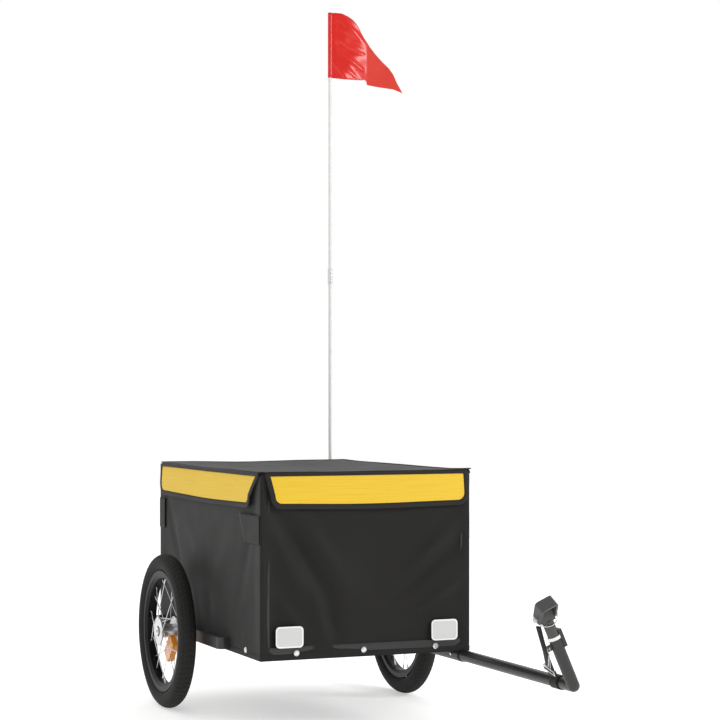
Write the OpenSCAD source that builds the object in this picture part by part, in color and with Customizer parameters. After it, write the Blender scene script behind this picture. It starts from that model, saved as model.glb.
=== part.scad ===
// Two-wheeled bicycle cargo trailer: tube frame with a fabric box, a lift-up fabric cover with
// hanging flaps, spoked quick-release wheels, a side drawbar with a swivel hitch, and a flag pole.
// Millimetres, +Z up, the drawbar points along -Y. Inside the modules Y = 0 is the axle line,
// X = 0 is the middle plane and Z = 0 is the ground; place() shifts all of it to the origin.

/* [Wheels] */
// Outer diameter of the tyres
tyre_d = 400; // [396:1:404]
// Width of a tyre
tyre_w = 47; // [45:1:48]
// Distance between the middle planes of the two wheels
track = 674; // [672:2:690]
// Spokes in one wheel
spoke_count = 20; // [12:4:28]

/* [Box] */
// Width of the fabric box, across its outer faces
box_w = 550; // [540:2:550]
// Length of the fabric box, across its outer faces
box_l = 810; // [780:10:840]
// Distance from the axle to the rear face of the box
box_rear = 260; // [255:1:270]
// Height of the lower edge of the fabric
box_z0 = 183; // [182:1:184]
// Height of the top of the frame
box_z1 = 627.5; // [600:0.5:660]
// Thickness of the fabric
cloth_t = 2; // [1:0.5:2]

/* [Frame] */
// Width of the square base tubes
base_s = 22; // [20:1:22]
// Width of the square post and top tubes
post_s = 20; // [18:1:20]
// Wall of the square tubes
tube_t = 1.5; // [1:0.1:1.6]
// Thickness of the floor board
floor_t = 4; // [3:1:6]

/* [Cover] */
// How far the side and rear flaps hang down
flap_drop = 84; // [60:1:90]
// How far past the upright a flap stands off the wall
flap_gap = 2.5; // [2:0.5:3]

/* [Drawbar] */
// Diameter of the drawbar tube
bar_d = 28; // [26:1:28]
// Distance of the drawbar from the middle plane
bar_x = 259; // [256:1:260]
// Distance from the axle to the elbow of the drawbar
elbow_y = 1108; // [1000:2:1200]
// Lean of the hitch arm towards the middle plane
arm_lean = 24; // [15:1:30]
// Forward tilt of the hitch fork
fork_tilt = 46; // [40:1:50]

/* [Flag] */
// Height of the top of the flag pole
pole_top = 1905; // [1700:5:2000]
// Distance of the pole from the middle plane
pole_x = 233; // [230:1:236]
// Reach of the flag from the pole to its tip
flag_reach = 229; // [200:1:260]

/* [Hidden] */
$fn = 64;

// Shift that puts the origin under the middle of the overall box
frame_shift = [-48, 426.2, 0];

wheel_r = tyre_d / 2;
tyre_r = tyre_w / 2;
tyre_c = wheel_r - tyre_r;
wheel_x = track / 2;
half_w = box_w / 2;
box_front = box_l - box_rear;
mid_y = box_rear - box_l / 2;
cloth_gap = 0.5;
frame_x = half_w - cloth_t - cloth_gap;
frame_y0 = cloth_t + cloth_gap - box_front;
frame_y1 = box_rear - cloth_t - cloth_gap;
base_z = 199;
floor_z = base_z + base_s / 2;
rail_x = frame_x - base_s / 2;
post_x = frame_x - base_s / 2;
post_y0 = frame_y0 + base_s / 2;
post_y1 = frame_y1 - base_s / 2;
top_z = box_z1 - base_s / 2;
screw_d = 4.8;
screw_hole = 5;
side_screw_y = [-444, -151];
end_screw_x = [-183, -9, 182];
holder_screw_z = [400, 440];
bracket_y0 = -322;
bracket_y1 = 230;
bracket_x = 303;
bracket_t = 4;
bracket_h = 29;
bracket_z = 187;
flap_t = 2;
flap_z = box_z1 - 0.5;
axle_d = 12;
hub_half = 23;
flange_d = 73;
flange_t = 3;
rim_r = 137.5;
bar_z = 171.5;
bar_t = 2.5;
pin_s = 175;
arm_end = 116;
ring_end = 123;
pole_y = 275;
pole_d = 9.5;
pole_z0 = 392;
pole_split = 1152;

module place() { translate(frame_shift) children(); }
module both_sides() { for (s = [0, 1]) mirror([s, 0, 0]) children(); }
module right_side() { mirror([1, 0, 0]) children(); }

module square_section(size, wall) {
  difference() {
    square(size, center = true);
    square(size - 2 * wall, center = true);
  }
}
module tube_x(len, size) {
  rotate([0, 90, 0]) linear_extrude(len, center = true) square_section(size, tube_t);
}
module tube_y(len, size) {
  rotate([90, 0, 0]) linear_extrude(len, center = true) square_section(size, tube_t);
}
// Plan rectangle with rounded corners
module rounded_rect(x0, x1, y0, y1, r) {
  translate([x0 + r, y0]) square([x1 - x0 - 2 * r, y1 - y0]);
  translate([x0, y0 + r]) square([x1 - x0, y1 - y0 - 2 * r]);
  for (x = [x0 + r, x1 - r], y = [y0 + r, y1 - r]) translate([x, y]) circle(r);
}
// Straight round rod from point p to point q
module rod(p, q, d) {
  v = q - p;
  translate(p) rotate([0, acos(v.z / norm(v)), atan2(v.y, v.x)]) cylinder(h = norm(v), d = d, $fn = 16);
}
// Screw holes through the walls of the base rails, seen from outside
module screw_axes() {
  for (y = side_screw_y) both_sides() translate([half_w, y, base_z]) rotate([0, 90, 0]) children();
  for (x = end_screw_x) {
    translate([x, -box_front, base_z]) rotate([90, 0, 0]) children();
    translate([x, box_rear, base_z]) rotate([-90, 0, 0]) children();
  }
  for (z = holder_screw_z) translate([post_x, box_rear + 2, z]) rotate([-90, 0, 0]) children();
}
module screw_holes() { screw_axes() translate([0, 0, -9]) cylinder(h = 9.2, d = screw_hole); }

// ---- base and box frame ----
module base_side_rails() {
  color("dimgray") place() difference() {
    both_sides() translate([rail_x, mid_y, base_z]) tube_y(frame_y1 - frame_y0, base_s);
    screw_holes();
  }
}
module base_cross_rails() {
  span = 2 * (rail_x - base_s / 2);
  color("dimgray") place() difference() {
    for (y = [post_y0, -310, 0, post_y1]) translate([0, y, base_z]) tube_x(span, base_s);
    screw_holes();
  }
}
module floor_board() {
  notch = base_s + 1;
  edge = 0.5;
  color("black") place() difference() {
    translate([-frame_x + edge, frame_y0 + edge, floor_z])
      cube([2 * (frame_x - edge), frame_y1 - frame_y0 - 2 * edge, floor_t]);
    for (x = [-frame_x - 1, frame_x + 1 - notch], y = [frame_y0 - 1, frame_y1 + 1 - notch])
      translate([x, y, floor_z - 1]) cube([notch, notch, floor_t + 2]);
  }
}
module corner_posts() {
  len = box_z1 - base_s - floor_z;
  color("dimgray") place() difference() {
    for (x = [-post_x, post_x], y = [post_y0, post_y1])
      translate([x, y, floor_z]) linear_extrude(len) square_section(post_s, tube_t);
    screw_holes();
  }
}
module top_rails() {
  span_x = 2 * post_x - base_s;
  span_y = post_y1 - post_y0 - base_s;
  color("dimgray") place() {
    for (x = [-post_x, post_x]) translate([x, mid_y, top_z]) tube_y(span_y, post_s);
    for (y = [post_y0, post_y1]) translate([0, y, top_z]) tube_x(span_x, post_s);
  }
}
module corner_connectors() {
  plug = post_s - 2 * tube_t - 0.6;
  reach = base_s / 2 + 18;
  color("black") place() for (x = [-1, 1], y = [-1, 1])
    translate([x * post_x, y > 0 ? post_y1 : post_y0, top_z]) {
      cube(base_s, center = true);
      translate([-x * reach / 2, 0, 0]) cube([reach, plug, plug], center = true);
      translate([0, -y * reach / 2, 0]) cube([plug, reach, plug], center = true);
      translate([0, 0, -reach / 2]) cube([plug, plug, reach], center = true);
    }
}

// ---- fabric box ----
module tub_fabric() {
  corner = 3;
  inner = half_w - cloth_t;
  color("#2b2a29") place() difference() {
    translate([0, 0, box_z0]) linear_extrude(box_z1 - box_z0) difference() {
      rounded_rect(-half_w, half_w, -box_front, box_rear, corner);
      rounded_rect(-inner, inner, cloth_t - box_front, box_rear - cloth_t, corner - cloth_t);
    }
    screw_holes();
    for (y = [bracket_y0, bracket_y1 - bracket_t]) both_sides()
      translate([inner - 2, y - 0.5, bracket_z - 1]) cube([cloth_t + 4, bracket_t + 1, bracket_h + 2]);
    both_sides() translate([inner - 2, 0, wheel_r]) rotate([0, 90, 0]) cylinder(h = cloth_t + 4, d = 23);
    translate([bar_x, 10 - box_front, bar_z]) rotate([90, 0, 0]) cylinder(h = 20, d = bar_d + 1);
  }
}
module corner_tabs() {
  tab_t = 1;
  lift = 0.1;
  color("#242322") place() {
    both_sides() translate([half_w + lift, 12 - box_front, 459]) cube([tab_t, 138, 69]);
    both_sides() translate([0, 0, 455]) {
      translate([half_w + lift, box_rear - 49, 0]) cube([tab_t, 49 + lift + tab_t, 80]);
      translate([half_w - 85, box_rear + lift, 0]) cube([85 + lift, tab_t, 80]);
    }
  }
}
// Rounded plate with a raised lens, lying in the X-Z plane, its front towards -Y
module reflector_plate(w, h) {
  rotate([90, 0, 0]) {
    linear_extrude(2.5) rounded_rect(-w / 2, w / 2, -h / 2, h / 2, 10);
    linear_extrude(3.6) rounded_rect(4 - w / 2, w / 2 - 4, 4 - h / 2, h / 2 - 4, 7);
  }
}
module front_reflectors() {
  color("white") place() for (x = [-202, 205])
    translate([x, -box_front - 0.1, 238]) reflector_plate(70, 51);
}
module rear_reflectors() {
  color("red") place() for (x = [-205, 168])
    translate([x, box_rear + 0.1, 238]) rotate([0, 0, 180]) reflector_plate(70, 51);
}
module panel_screws() {
  color("silver") place() screw_axes() {
    translate([0, 0, 0.1]) cylinder(h = 2.4, d1 = 15, d2 = 10);
    translate([0, 0, -8]) cylinder(h = 8.2, d = screw_d);
  }
}
// Hanging flap in the X-Z plane: straight top edge at z = 0, slanted ends, rounded lower corners
module flap_outline(x0, x1, x0_low, x1_low, drop) {
  r = 20;
  polygon([[x0, 0], [x1, 0], [x1_low, r - drop], [x1_low - r, -drop], [x0_low + r, -drop], [x0_low, r - drop]]);
  for (x = [x0_low + r, x1_low - r]) translate([x, r - drop]) circle(r);
}
module flap(x0, x1, x0_low, x1_low, drop) {
  rotate([90, 0, 0]) linear_extrude(flap_t) flap_outline(x0, x1, x0_low, x1_low, drop);
}
module rear_flap() {
  color("gold") place() translate([0, box_rear + flap_gap, flap_z]) rotate([0, 0, 180])
    flap(-266, 266, -240, 240, flap_drop);
}
module front_flap() {
  color("gold") place() translate([0, -box_front - flap_gap, flap_z]) flap(-266, 274, -240, 262, flap_drop);
}
module side_flap() {
  translate([half_w + flap_gap, 0, flap_z]) rotate([0, 0, 90])
    flap(-510, 257, -452, 240, flap_drop);
}
module left_flap() { color("gold") place() side_flap(); }
module right_flap() { color("gold") place() right_side() side_flap(); }
module cover_panel() {
  edge = 1.5;
  color("#2b2a29") place() translate([0, 0, box_z1 + 0.5]) linear_extrude(cloth_t)
    rounded_rect(-half_w - edge, half_w + edge, -box_front - edge, box_rear + edge, 6);
}

// ---- axle mounting ----
module axle_brackets() {
  inner = bracket_x - bracket_t;
  color("#222222") place() both_sides() difference() {
    translate([0, 0, bracket_z]) linear_extrude(bracket_h) difference() {
      rounded_rect(200, bracket_x, bracket_y0, bracket_y1, 15);
      rounded_rect(180, inner, bracket_y0 + bracket_t, bracket_y1 - bracket_t, 11);
      translate([190, bracket_y0 - 10]) square([frame_x - 190, bracket_y1 - bracket_y0 + 20]);
    }
    translate([inner - 1, 0, wheel_r]) rotate([0, 90, 0]) cylinder(h = bracket_t + 2, d = 22.2);
  }
}
module axle_receivers() {
  color("#222222") place() both_sides() translate([frame_x, 0, wheel_r]) rotate([0, 90, 0]) difference() {
    cylinder(h = bracket_x + 2 - frame_x, d = 22);
    translate([0, 0, -1]) cylinder(h = bracket_x + 4 - frame_x, d = axle_d + 0.1);
  }
}

// ---- wheel, drawn about the axle line with its own +Z outwards ----
module wheel_place() { translate([wheel_x, 0, wheel_r]) rotate([0, 90, 0]) children(); }
module tyre() {
  wall = 3;
  rotate_extrude() {
    difference() {
      translate([tyre_c, 0]) circle(tyre_r);
      translate([tyre_c, 0]) circle(tyre_r - wall);
      translate([100, -30]) square([157.5 - 100, 60]);
    }
    for (s = [-1, 1]) translate([151.4, s > 0 ? 9 : -13.3]) square([6.3, 4.3]);
  }
}
module inner_tube() {
  rotate_extrude() translate([tyre_c, 0]) difference() {
    circle(tyre_r - 3.3);
    circle(tyre_r - 4.5);
  }
}
module rim() {
  rotate_extrude() difference() {
    polygon([[157, -16], [157, -13.5], [151, -13.5], [146, -6], [146, 6], [151, 13.5], [157, 13.5],
      [157, 16], [146, 16], [rim_r, 10], [rim_r, -10], [146, -16]]);
    polygon([[139.5, -8.5], [139.5, 8.5], [146, 13], [149, 13], [144.3, 5.5], [144.3, -5.5],
      [149, -13], [146, -13]]);
  }
}
// Ends of spoke k: odd spokes lace to the inner flange, every other pair lies outside its flange
spoke_cross = 60;
nipple_len = 12;
function polar(r, a, z) = [r * cos(a), r * sin(a), z];
function spoke_side(k) = k % 2 == 0 ? 1 : -1;
function spoke_outer(k) = floor(k / 2) % 2 == 0;
function spoke_angle(k) = 360 * k / spoke_count;
function spoke_hub(k) = polar(35.5, spoke_angle(k) + (spoke_outer(k) ? spoke_cross : -spoke_cross),
  spoke_side(k) * (spoke_outer(k) ? hub_half + 2.6 : hub_half - flange_t - 1.5));
function spoke_rim(k) = polar(rim_r - 0.7, spoke_angle(k), 2.5 * spoke_side(k));
function spoke_joint(k) = let (h = spoke_hub(k), r = spoke_rim(k)) r + (h - r) * nipple_len / norm(h - r);
module spokes() { for (k = [0:spoke_count - 1]) rod(spoke_hub(k), spoke_joint(k), 2); }
module nipples() { for (k = [0:spoke_count - 1]) rod(spoke_joint(k), spoke_rim(k), 4); }
module hub() {
  seat = 8.2;
  difference() {
    union() {
      cylinder(h = 2 * hub_half, d = 36, center = true);
      for (s = [-1, 1]) translate([0, 0, s * (hub_half - flange_t / 2)])
        cylinder(h = flange_t, d = flange_d, center = true);
    }
    cylinder(h = 2 * hub_half + 2, d = 22, center = true);
    for (s = [-1, 1]) translate([0, 0, s * hub_half]) cylinder(h = 2 * seat, d = 28, center = true);
  }
}
module bearings() {
  for (s = [-1, 1]) translate([0, 0, s * (hub_half - 4.2)]) difference() {
    cylinder(h = 7.8, d = 27.96, center = true);
    cylinder(h = 9, d = axle_d + 0.1, center = true);
  }
}
// Plate between the spokes, ahead of and below the axle
module spoke_reflector() {
  rotate(225) translate([0, 0, -7.5]) linear_extrude(15) translate([58, 0])
    rounded_rect(-21, 21, -35, 35, 9);
}
module valve() {
  rod(polar(rim_r - 0.2, 99, 0), polar(112, 99, 0), 6);
  rod(polar(118, 99, 0), polar(108, 99, 0), 8);
}
module axle() {
  rotate([0, 90, 0]) difference() {
    union() {
      translate([0, 0, 274]) cylinder(h = 87, d = axle_d);
      translate([0, 0, 305.4]) cylinder(h = 8.3, d = 18);
      translate([0, 0, 360.3]) cylinder(h = 2.7, d = 20);
    }
    translate([0, 0, 279]) cylinder(h = 90, d = 7);
  }
}
module button() { rotate([0, 90, 0]) translate([0, 0, 283]) cylinder(h = 83, d = 6.9); }

module left_tyre() { color("#1c1c1b") place() wheel_place() tyre(); }
module left_inner_tube() { color("#111111") place() wheel_place() inner_tube(); }
module left_rim() { color("#151515") place() wheel_place() rim(); }
module left_spokes() { color("silver") place() wheel_place() spokes(); }
module left_nipples() { color("silver") place() wheel_place() nipples(); }
module left_hub() { color("silver") place() wheel_place() hub(); }
module left_bearings() { color("#555555") place() wheel_place() bearings(); }
module left_spoke_reflector() { color("orange") place() wheel_place() mirror([1, 0, 0]) spoke_reflector(); }
module left_valve() { color("#111111") place() wheel_place() valve(); }
module left_axle() { color("silver") place() translate([0, 0, wheel_r]) axle(); }
module left_button() { color("silver") place() translate([0, 0, wheel_r]) button(); }
module right_tyre() { color("#1c1c1b") place() right_side() wheel_place() tyre(); }
module right_inner_tube() { color("#111111") place() right_side() wheel_place() inner_tube(); }
module right_rim() { color("#151515") place() right_side() wheel_place() rim(); }
module right_spokes() { color("silver") place() right_side() wheel_place() spokes(); }
module right_nipples() { color("silver") place() right_side() wheel_place() nipples(); }
module right_hub() { color("silver") place() right_side() wheel_place() hub(); }
module right_bearings() { color("#555555") place() right_side() wheel_place() bearings(); }
module right_spoke_reflector() {
  color("orange") place() right_side() wheel_place() mirror([1, 0, 0]) spoke_reflector();
}
module right_valve() { color("#111111") place() right_side() wheel_place() valve(); }
module right_axle() { color("silver") place() right_side() translate([0, 0, wheel_r]) axle(); }
module right_button() { color("silver") place() right_side() translate([0, 0, wheel_r]) button(); }

// ---- drawbar and hitch ----
module elbow_place() { translate([bar_x, -elbow_y, bar_z]) children(); }
// Own +Z runs up the hitch arm, own +X points to the trailer's left
module arm_place() { elbow_place() rotate([0, -arm_lean, 0]) children(); }
module pin_place() { arm_place() translate([0, 0, pin_s]) children(); }
bar_tail = -330;
bar_lock_y = -510;
module bar_core(d) {
  elbow_place() {
    rotate([-90, 0, 0]) cylinder(h = elbow_y + bar_tail, d = d);
    sphere(d = d);
  }
}
module drawbar() {
  bore = bar_d - 2 * bar_t;
  color("#202020") place() difference() {
    union() {
      bar_core(bar_d);
      arm_place() cylinder(h = arm_end, d = bar_d);
    }
    bar_core(bore);
    translate([bar_x, bar_tail + 1, bar_z]) rotate([90, 0, 0]) cylinder(h = 20, d = bore);
    arm_place() cylinder(h = arm_end + 1, d = bore);
    translate([bar_x, bar_lock_y, bar_z]) rotate([0, 90, 0]) cylinder(h = 60, d = 6.1, center = true);
  }
}
module drawbar_sleeve() {
  color("#202020") place() difference() {
    translate([bar_x, bar_tail - 5, bar_z]) rotate([90, 0, 0]) difference() {
      cylinder(h = 210, d = 33);
      translate([0, 0, -1]) cylinder(h = 212, d = bar_d + 0.1);
    }
    translate([bar_x, bar_lock_y, bar_z]) rotate([0, 90, 0]) cylinder(h = 60, d = 6.1, center = true);
  }
}
module drawbar_pin() {
  color("silver") place() translate([bar_x, bar_lock_y, bar_z]) rotate([0, 90, 0]) {
    translate([0, 0, -19]) cylinder(h = 46, d = 6);
    translate([0, 0, 17]) cylinder(h = 4, d = 11);
    translate([0, 0, 25.5]) cylinder(h = 1.5, d = 9.5);
  }
}
module pull_ring() {
  color("silver") place() translate([bar_x + 23.2, bar_lock_y, bar_z - 9.4]) rotate([0, 90, 0])
    rotate_extrude() translate([13.5, 0]) circle(d = 2, $fn = 16);
}
module swivel_ring() {
  color("white") place() arm_place() difference() {
    translate([0, 0, arm_end]) cylinder(h = ring_end - arm_end, d = 30);
    cylinder(h = ring_end + 1, d = 23.1);
  }
}
module coupler() {
  color("#262626") place() arm_place() difference() {
    union() {
      translate([0, 0, 62]) cylinder(h = ring_end + 1 - 62, d = 22.9);
      translate([0, 0, ring_end + 0.3]) cylinder(h = pin_s - 15 - ring_end, d = 26);
      translate([-16.5, -10, pin_s - 16]) cube([33, 20, 30]);
    }
    translate([0, 0, pin_s]) rotate([0, 90, 0]) cylinder(h = 40, d = 8.1, center = true);
  }
}
module hitch_pin() {
  color("silver") place() pin_place() rotate([0, 90, 0]) {
    translate([0, 0, -30.5]) cylinder(h = 61, d = 8);
    for (s = [-1, 1]) translate([0, 0, s * 24.2]) cylinder(h = 3.2, d = 13, center = true);
  }
}
module fork() {
  reach = 46;
  color("#3a3a39") place() pin_place() rotate([fork_tilt, 0, 0]) difference() {
    union() {
      for (s = [-1, 1]) translate([s * 19.5, 0, 0]) rotate([0, 90, 0]) cylinder(h = 5, r = 14, center = true);
      rotate([90, 0, 0]) linear_extrude(28, center = true) difference() {
        rounded_rect(-22, 22, -20, reach, 8);
        rounded_rect(-17, 17, -30, reach - 5, 4);
        translate([-30, -40]) square([60, 40]);
      }
    }
    rotate([0, 90, 0]) cylinder(h = 60, d = 8.1, center = true);
  }
}
bail_r = 28.4;
bail_d = 2.2;
// Wire handle looped on both ends of the hitch pin, hanging in front of the coupler
module pin_bail() {
  color("silver") place() pin_place() rotate([57, 0, 0]) {
    rotate([0, 0, 191]) rotate_extrude(angle = 158) translate([bail_r, 0]) circle(d = bail_d, $fn = 16);
    for (s = [-1, 1]) translate([s * bail_r, 0, 0]) rotate([0, 90, 0])
      rotate_extrude() translate([5.6, 0]) circle(d = bail_d, $fn = 16);
  }
}
module swivel_guard() {
  color("#202020") place() arm_place() difference() {
    translate([10, -11, 92]) cube([9, 22, 42]);
    translate([0, 0, 80]) cylinder(h = 80, d = 2 * 14.2);
    translate([0, 0, ring_end - 7.5]) cylinder(h = 8, d = 30.6);
  }
}
module hitch_lug() {
  color("#202020") place() arm_place() difference() {
    translate([-25, -2, 96]) cube([13, 4, 14]);
    cylinder(h = 120, d = bar_d);
    translate([-20.5, 0, clip_s]) rotate([90, 0, 0]) cylinder(h = 8, d = 5, center = true);
  }
}
clip_s = 102;
clip_n = 20.5;
// Point of the lug's hole, from which the clip hangs
clip_hang = [bar_x - clip_n * cos(arm_lean) - clip_s * sin(arm_lean), -elbow_y,
  bar_z - clip_n * sin(arm_lean) + clip_s * cos(arm_lean)];
module spare_clip() {
  wire = 1.8;
  color("silver") place() translate(clip_hang) {
    translate([0, 0, -6.2]) rotate([0, 90, 0]) rotate_extrude() translate([6.2, 0]) circle(d = wire, $fn = 16);
    rod([0, -1.5, -12.2], [0, -4, -45], wire - 0.3);
    rod([0, 1.5, -12.2], [0, 6, -41], wire - 0.3);
  }
}
strap_w = 36;
strap_y = -1040;
strap_top = [bar_x - 91, 6 - elbow_y, 306];
// Webbing looped round the drawbar and drawn up to the left end of the hitch pin
module safety_strap() {
  webbing = 2.2;
  color("#1d1d1d") place() {
    translate([bar_x, strap_y, bar_z]) rotate([90, 0, 0]) difference() {
      cylinder(h = strap_w, d = bar_d + 0.4 + 2 * webbing, center = true);
      cylinder(h = strap_w + 2, d = bar_d + 0.4, center = true);
    }
    hull() {
      translate([bar_x - 15, strap_y, bar_z + 13]) cube([webbing, strap_w, 2], center = true);
      translate(strap_top) cube([webbing, 10, 2], center = true);
    }
  }
}
module strap_buckle() {
  color("silver") place() translate([bar_x - 27.6, strap_y - 8.9, bar_z + 29.5]) rotate([23, -32, 0])
    difference() {
      cube([6, strap_w + 6, 14], center = true);
      cube([8, strap_w, 8.5], center = true);
      translate([1.7, 0, 0]) cube([3.2, strap_w, 20], center = true);
    }
}

// ---- flag pole ----
module pole_holder() {
  color("#1c1c1c") place() difference() {
    union() {
      translate([pole_x, pole_y, 386]) cylinder(h = 84, d = 14);
      translate([pole_x - 5, box_rear + 1, 386]) cube([10, 12, 68]);
      translate([pole_x - 9, box_rear + 0.1, 386]) cube([48, 1.9, 68]);
    }
    translate([pole_x, pole_y, pole_z0 - 0.3]) cylinder(h = 90, d = pole_d + 0.1);
    screw_holes();
  }
}
module lower_pole() {
  color("gainsboro") place() translate([pole_x, pole_y, pole_z0]) difference() {
    cylinder(h = pole_split - 1 - pole_z0, d = pole_d);
    translate([0, 0, 2]) cylinder(h = pole_split - pole_z0, d = pole_d - 3);
  }
}
module pole_ferrule() {
  color("lightgray") place() translate([pole_x, pole_y, pole_split - 22]) difference() {
    cylinder(h = 45, d = 13.5);
    translate([0, 0, -1]) cylinder(h = 47, d = pole_d + 0.1);
  }
}
module upper_pole() {
  color("gainsboro") place() translate([pole_x, pole_y, pole_split]) difference() {
    cylinder(h = pole_top - pole_split, d = pole_d);
    translate([0, 0, -1]) cylinder(h = pole_top - pole_split - 3, d = pole_d - 3);
  }
}
// Pennant with a sleeve round the pole and a curved top edge
module flag() {
  hoist = 184;
  steps = 8;
  tip_drop = 211;
  top_edge = [for (i = [0:steps]) let (t = i / steps) [6 + (flag_reach - 6) * t, -tip_drop * pow(t, 1.35)]];
  color("red") place() translate([pole_x, pole_y, pole_top - 1]) {
    rotate([90, 0, 0]) linear_extrude(1.2, center = true)
      polygon(concat(top_edge, [[6, -hoist]]));
    translate([0, 0, -hoist]) difference() {
      cylinder(h = hoist, d = 13);
      translate([0, 0, -1]) cylinder(h = hoist + 2, d = pole_d + 0.8);
    }
  }
}

base_side_rails();
base_cross_rails();
floor_board();
corner_posts();
top_rails();
corner_connectors();
tub_fabric();
corner_tabs();
front_reflectors();
rear_reflectors();
panel_screws();
rear_flap();
axle_brackets();
axle_receivers();
drawbar_sleeve();
drawbar();
swivel_ring();
swivel_guard();
hitch_lug();
pole_holder();
safety_strap();
strap_buckle();
cover_panel();
front_flap();
left_flap();
right_flap();
left_tyre();
left_inner_tube();
left_rim();
left_spokes();
left_nipples();
left_hub();
left_bearings();
left_spoke_reflector();
left_valve();
left_axle();
left_button();
right_tyre();
right_inner_tube();
right_rim();
right_spokes();
right_nipples();
right_hub();
right_bearings();
right_spoke_reflector();
right_valve();
right_axle();
right_button();
lower_pole();
pole_ferrule();
upper_pole();
flag();
coupler();
hitch_pin();
fork();
pin_bail();
spare_clip();
drawbar_pin();
pull_ring();
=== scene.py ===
"""Builds the looks of a bicycle cargo trailer around its fixed frame of parts."""

import math

import bmesh
import bpy
import numpy as np
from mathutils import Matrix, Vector, noise


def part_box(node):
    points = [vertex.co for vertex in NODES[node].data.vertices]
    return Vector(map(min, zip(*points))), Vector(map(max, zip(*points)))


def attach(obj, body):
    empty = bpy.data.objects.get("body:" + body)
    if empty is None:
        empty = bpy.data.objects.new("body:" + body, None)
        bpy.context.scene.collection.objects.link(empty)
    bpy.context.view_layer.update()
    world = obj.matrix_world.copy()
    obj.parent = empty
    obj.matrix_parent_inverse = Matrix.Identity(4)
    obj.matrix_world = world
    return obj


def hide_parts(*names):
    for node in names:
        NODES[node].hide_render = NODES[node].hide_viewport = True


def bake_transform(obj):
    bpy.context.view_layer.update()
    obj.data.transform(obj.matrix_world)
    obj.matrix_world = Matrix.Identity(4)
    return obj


bl_info = {
    "name": "Bicycle Cargo Trailer",
    "version": (1, 0, 0),
    "blender": (4, 5, 0),
    "location": "View3D > Sidebar > Trailer",
    "description": "Builds the fabric, hardware and finishes of a bicycle cargo trailer",
    "category": "Object",
}

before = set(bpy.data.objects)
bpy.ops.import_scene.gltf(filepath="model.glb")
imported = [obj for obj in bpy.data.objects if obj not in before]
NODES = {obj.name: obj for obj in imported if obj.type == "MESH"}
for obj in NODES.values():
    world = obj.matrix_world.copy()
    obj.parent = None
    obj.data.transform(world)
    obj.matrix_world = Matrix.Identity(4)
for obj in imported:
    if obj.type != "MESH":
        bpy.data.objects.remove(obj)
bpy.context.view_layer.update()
MM = 0.001


# ---- places that the frame gives ----

def node_centre(name):
    """Middle of a frame node's box."""
    low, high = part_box(name)
    return (low + high) / 2


TUB_LOW, TUB_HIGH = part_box("tub_fabric")
TUB_MID = (TUB_LOW + TUB_HIGH) / 2
COVER_LOW, COVER_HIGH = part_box("cover_panel")
AXLE = node_centre("left_hub")


# ---- sizes and colours a user would change ----

def length(name, text, default_mm):
    """A length property, given in millimetres and kept in metres."""
    return bpy.props.FloatProperty(name=name, description=text, default=default_mm * MM,
                                   unit="LENGTH", precision=4)


class TrailerSizes(bpy.types.PropertyGroup):
    """Sizes of the sewn and fitted details."""

    cloth: length("Cloth thickness", "Thickness of the box and cover cloth", 1.6)
    binding: length("Binding width", "Width of the tape sewn round each flap", 13)
    crease: length("Crease depth", "Depth of the broad creases in the box cloth", 13)
    sag: length("Cover sag", "How far the middle of the cover hangs down", 9)
    thread: length("Thread spacing", "Distance between the threads that show in the cloth", 1.4)
    stitch: length("Stitch length", "Length of one sewn stitch", 5)
    tread: length("Tread depth", "Height of the tread blocks", 1.5)


def colour(name, text, default):
    """A colour property whose default is an sRGB hex value."""
    return bpy.props.StringProperty(name=name, description=text, default=default)


class TrailerColours(bpy.types.PropertyGroup):
    """Colours of the finishes, as sRGB hex values."""

    canvas: colour("Canvas", "Coated canvas of the box and cover", "#191817")
    panel: colour("Flap cloth", "Cloth of the hanging flaps", "#E2BE33")
    binding: colour("Binding", "Tape round the flaps", "#232120")
    panel_slub: colour("Flap slubs", "Darker threads of the flap cloth", "#D6AB25")
    flag: colour("Flag", "Glossy half of the flag", "#D82014")
    flag_shade: colour("Flag patches", "Darker patches of the glossy half", "#C8170D")
    flag_tip: colour("Flag tip", "Matt half of the flag", "#CC3424")
    flag_tip_shade: colour("Flag tip patches", "Darker patches of the matt half", "#C42A1A")
    steel: colour("Powder coat", "Powder coat of the frame and drawbar", "#1D1D1C")
    fork: colour("Fork coat", "Powder coat of the hitch fork", "#3C3C3B")
    pole: colour("Pole", "Glass fibre of the flag pole", "#DADAD6")
    amber: colour("Amber reflector", "Moulded spoke reflectors", "#DB8500")
    rubber: colour("Tyre rubber", "Rubber of the tyres", "#1D1C1B")


def sizes():
    """The scene's sizes."""
    return bpy.context.scene.trailer_sizes


def colours():
    """The scene's colours."""
    return bpy.context.scene.trailer_colours


# ---- materials ----

def linear(hex_value):
    """An sRGB hex value as a linear RGBA colour."""
    parts = [int(hex_value[i:i + 2], 16) / 255 for i in (1, 3, 5)]
    return [p / 12.92 if p <= 0.04045 else ((p + 0.055) / 1.055) ** 2.4 for p in parts] + [1.0]


def add_node(tree, kind, values=None, links=None):
    """Adds a node, sets its options and inputs, and links its inputs to the given outputs."""
    made = tree.nodes.new(kind)
    for key, value in (values or {}).items():
        if isinstance(key, str) and hasattr(made, key):
            setattr(made, key, value)
        else:
            made.inputs[key].default_value = value
    for key, source in (links or {}).items():
        tree.links.new(source, made.inputs[key])
    return made


def new_material(name, hex_value, roughness, **sockets):
    """A material with one Principled shader. Returns it, its node tree, the shader and the colour."""
    made = bpy.data.materials.new(name)
    made.use_nodes = True
    shader = made.node_tree.nodes["Principled BSDF"]
    base = linear(hex_value)
    for key, value in {"Base_Color": base, "Roughness": roughness, **sockets}.items():
        shader.inputs[key.replace("_", " ")].default_value = value
    made.diffuse_color = base
    return made, made.node_tree, shader, base


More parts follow.
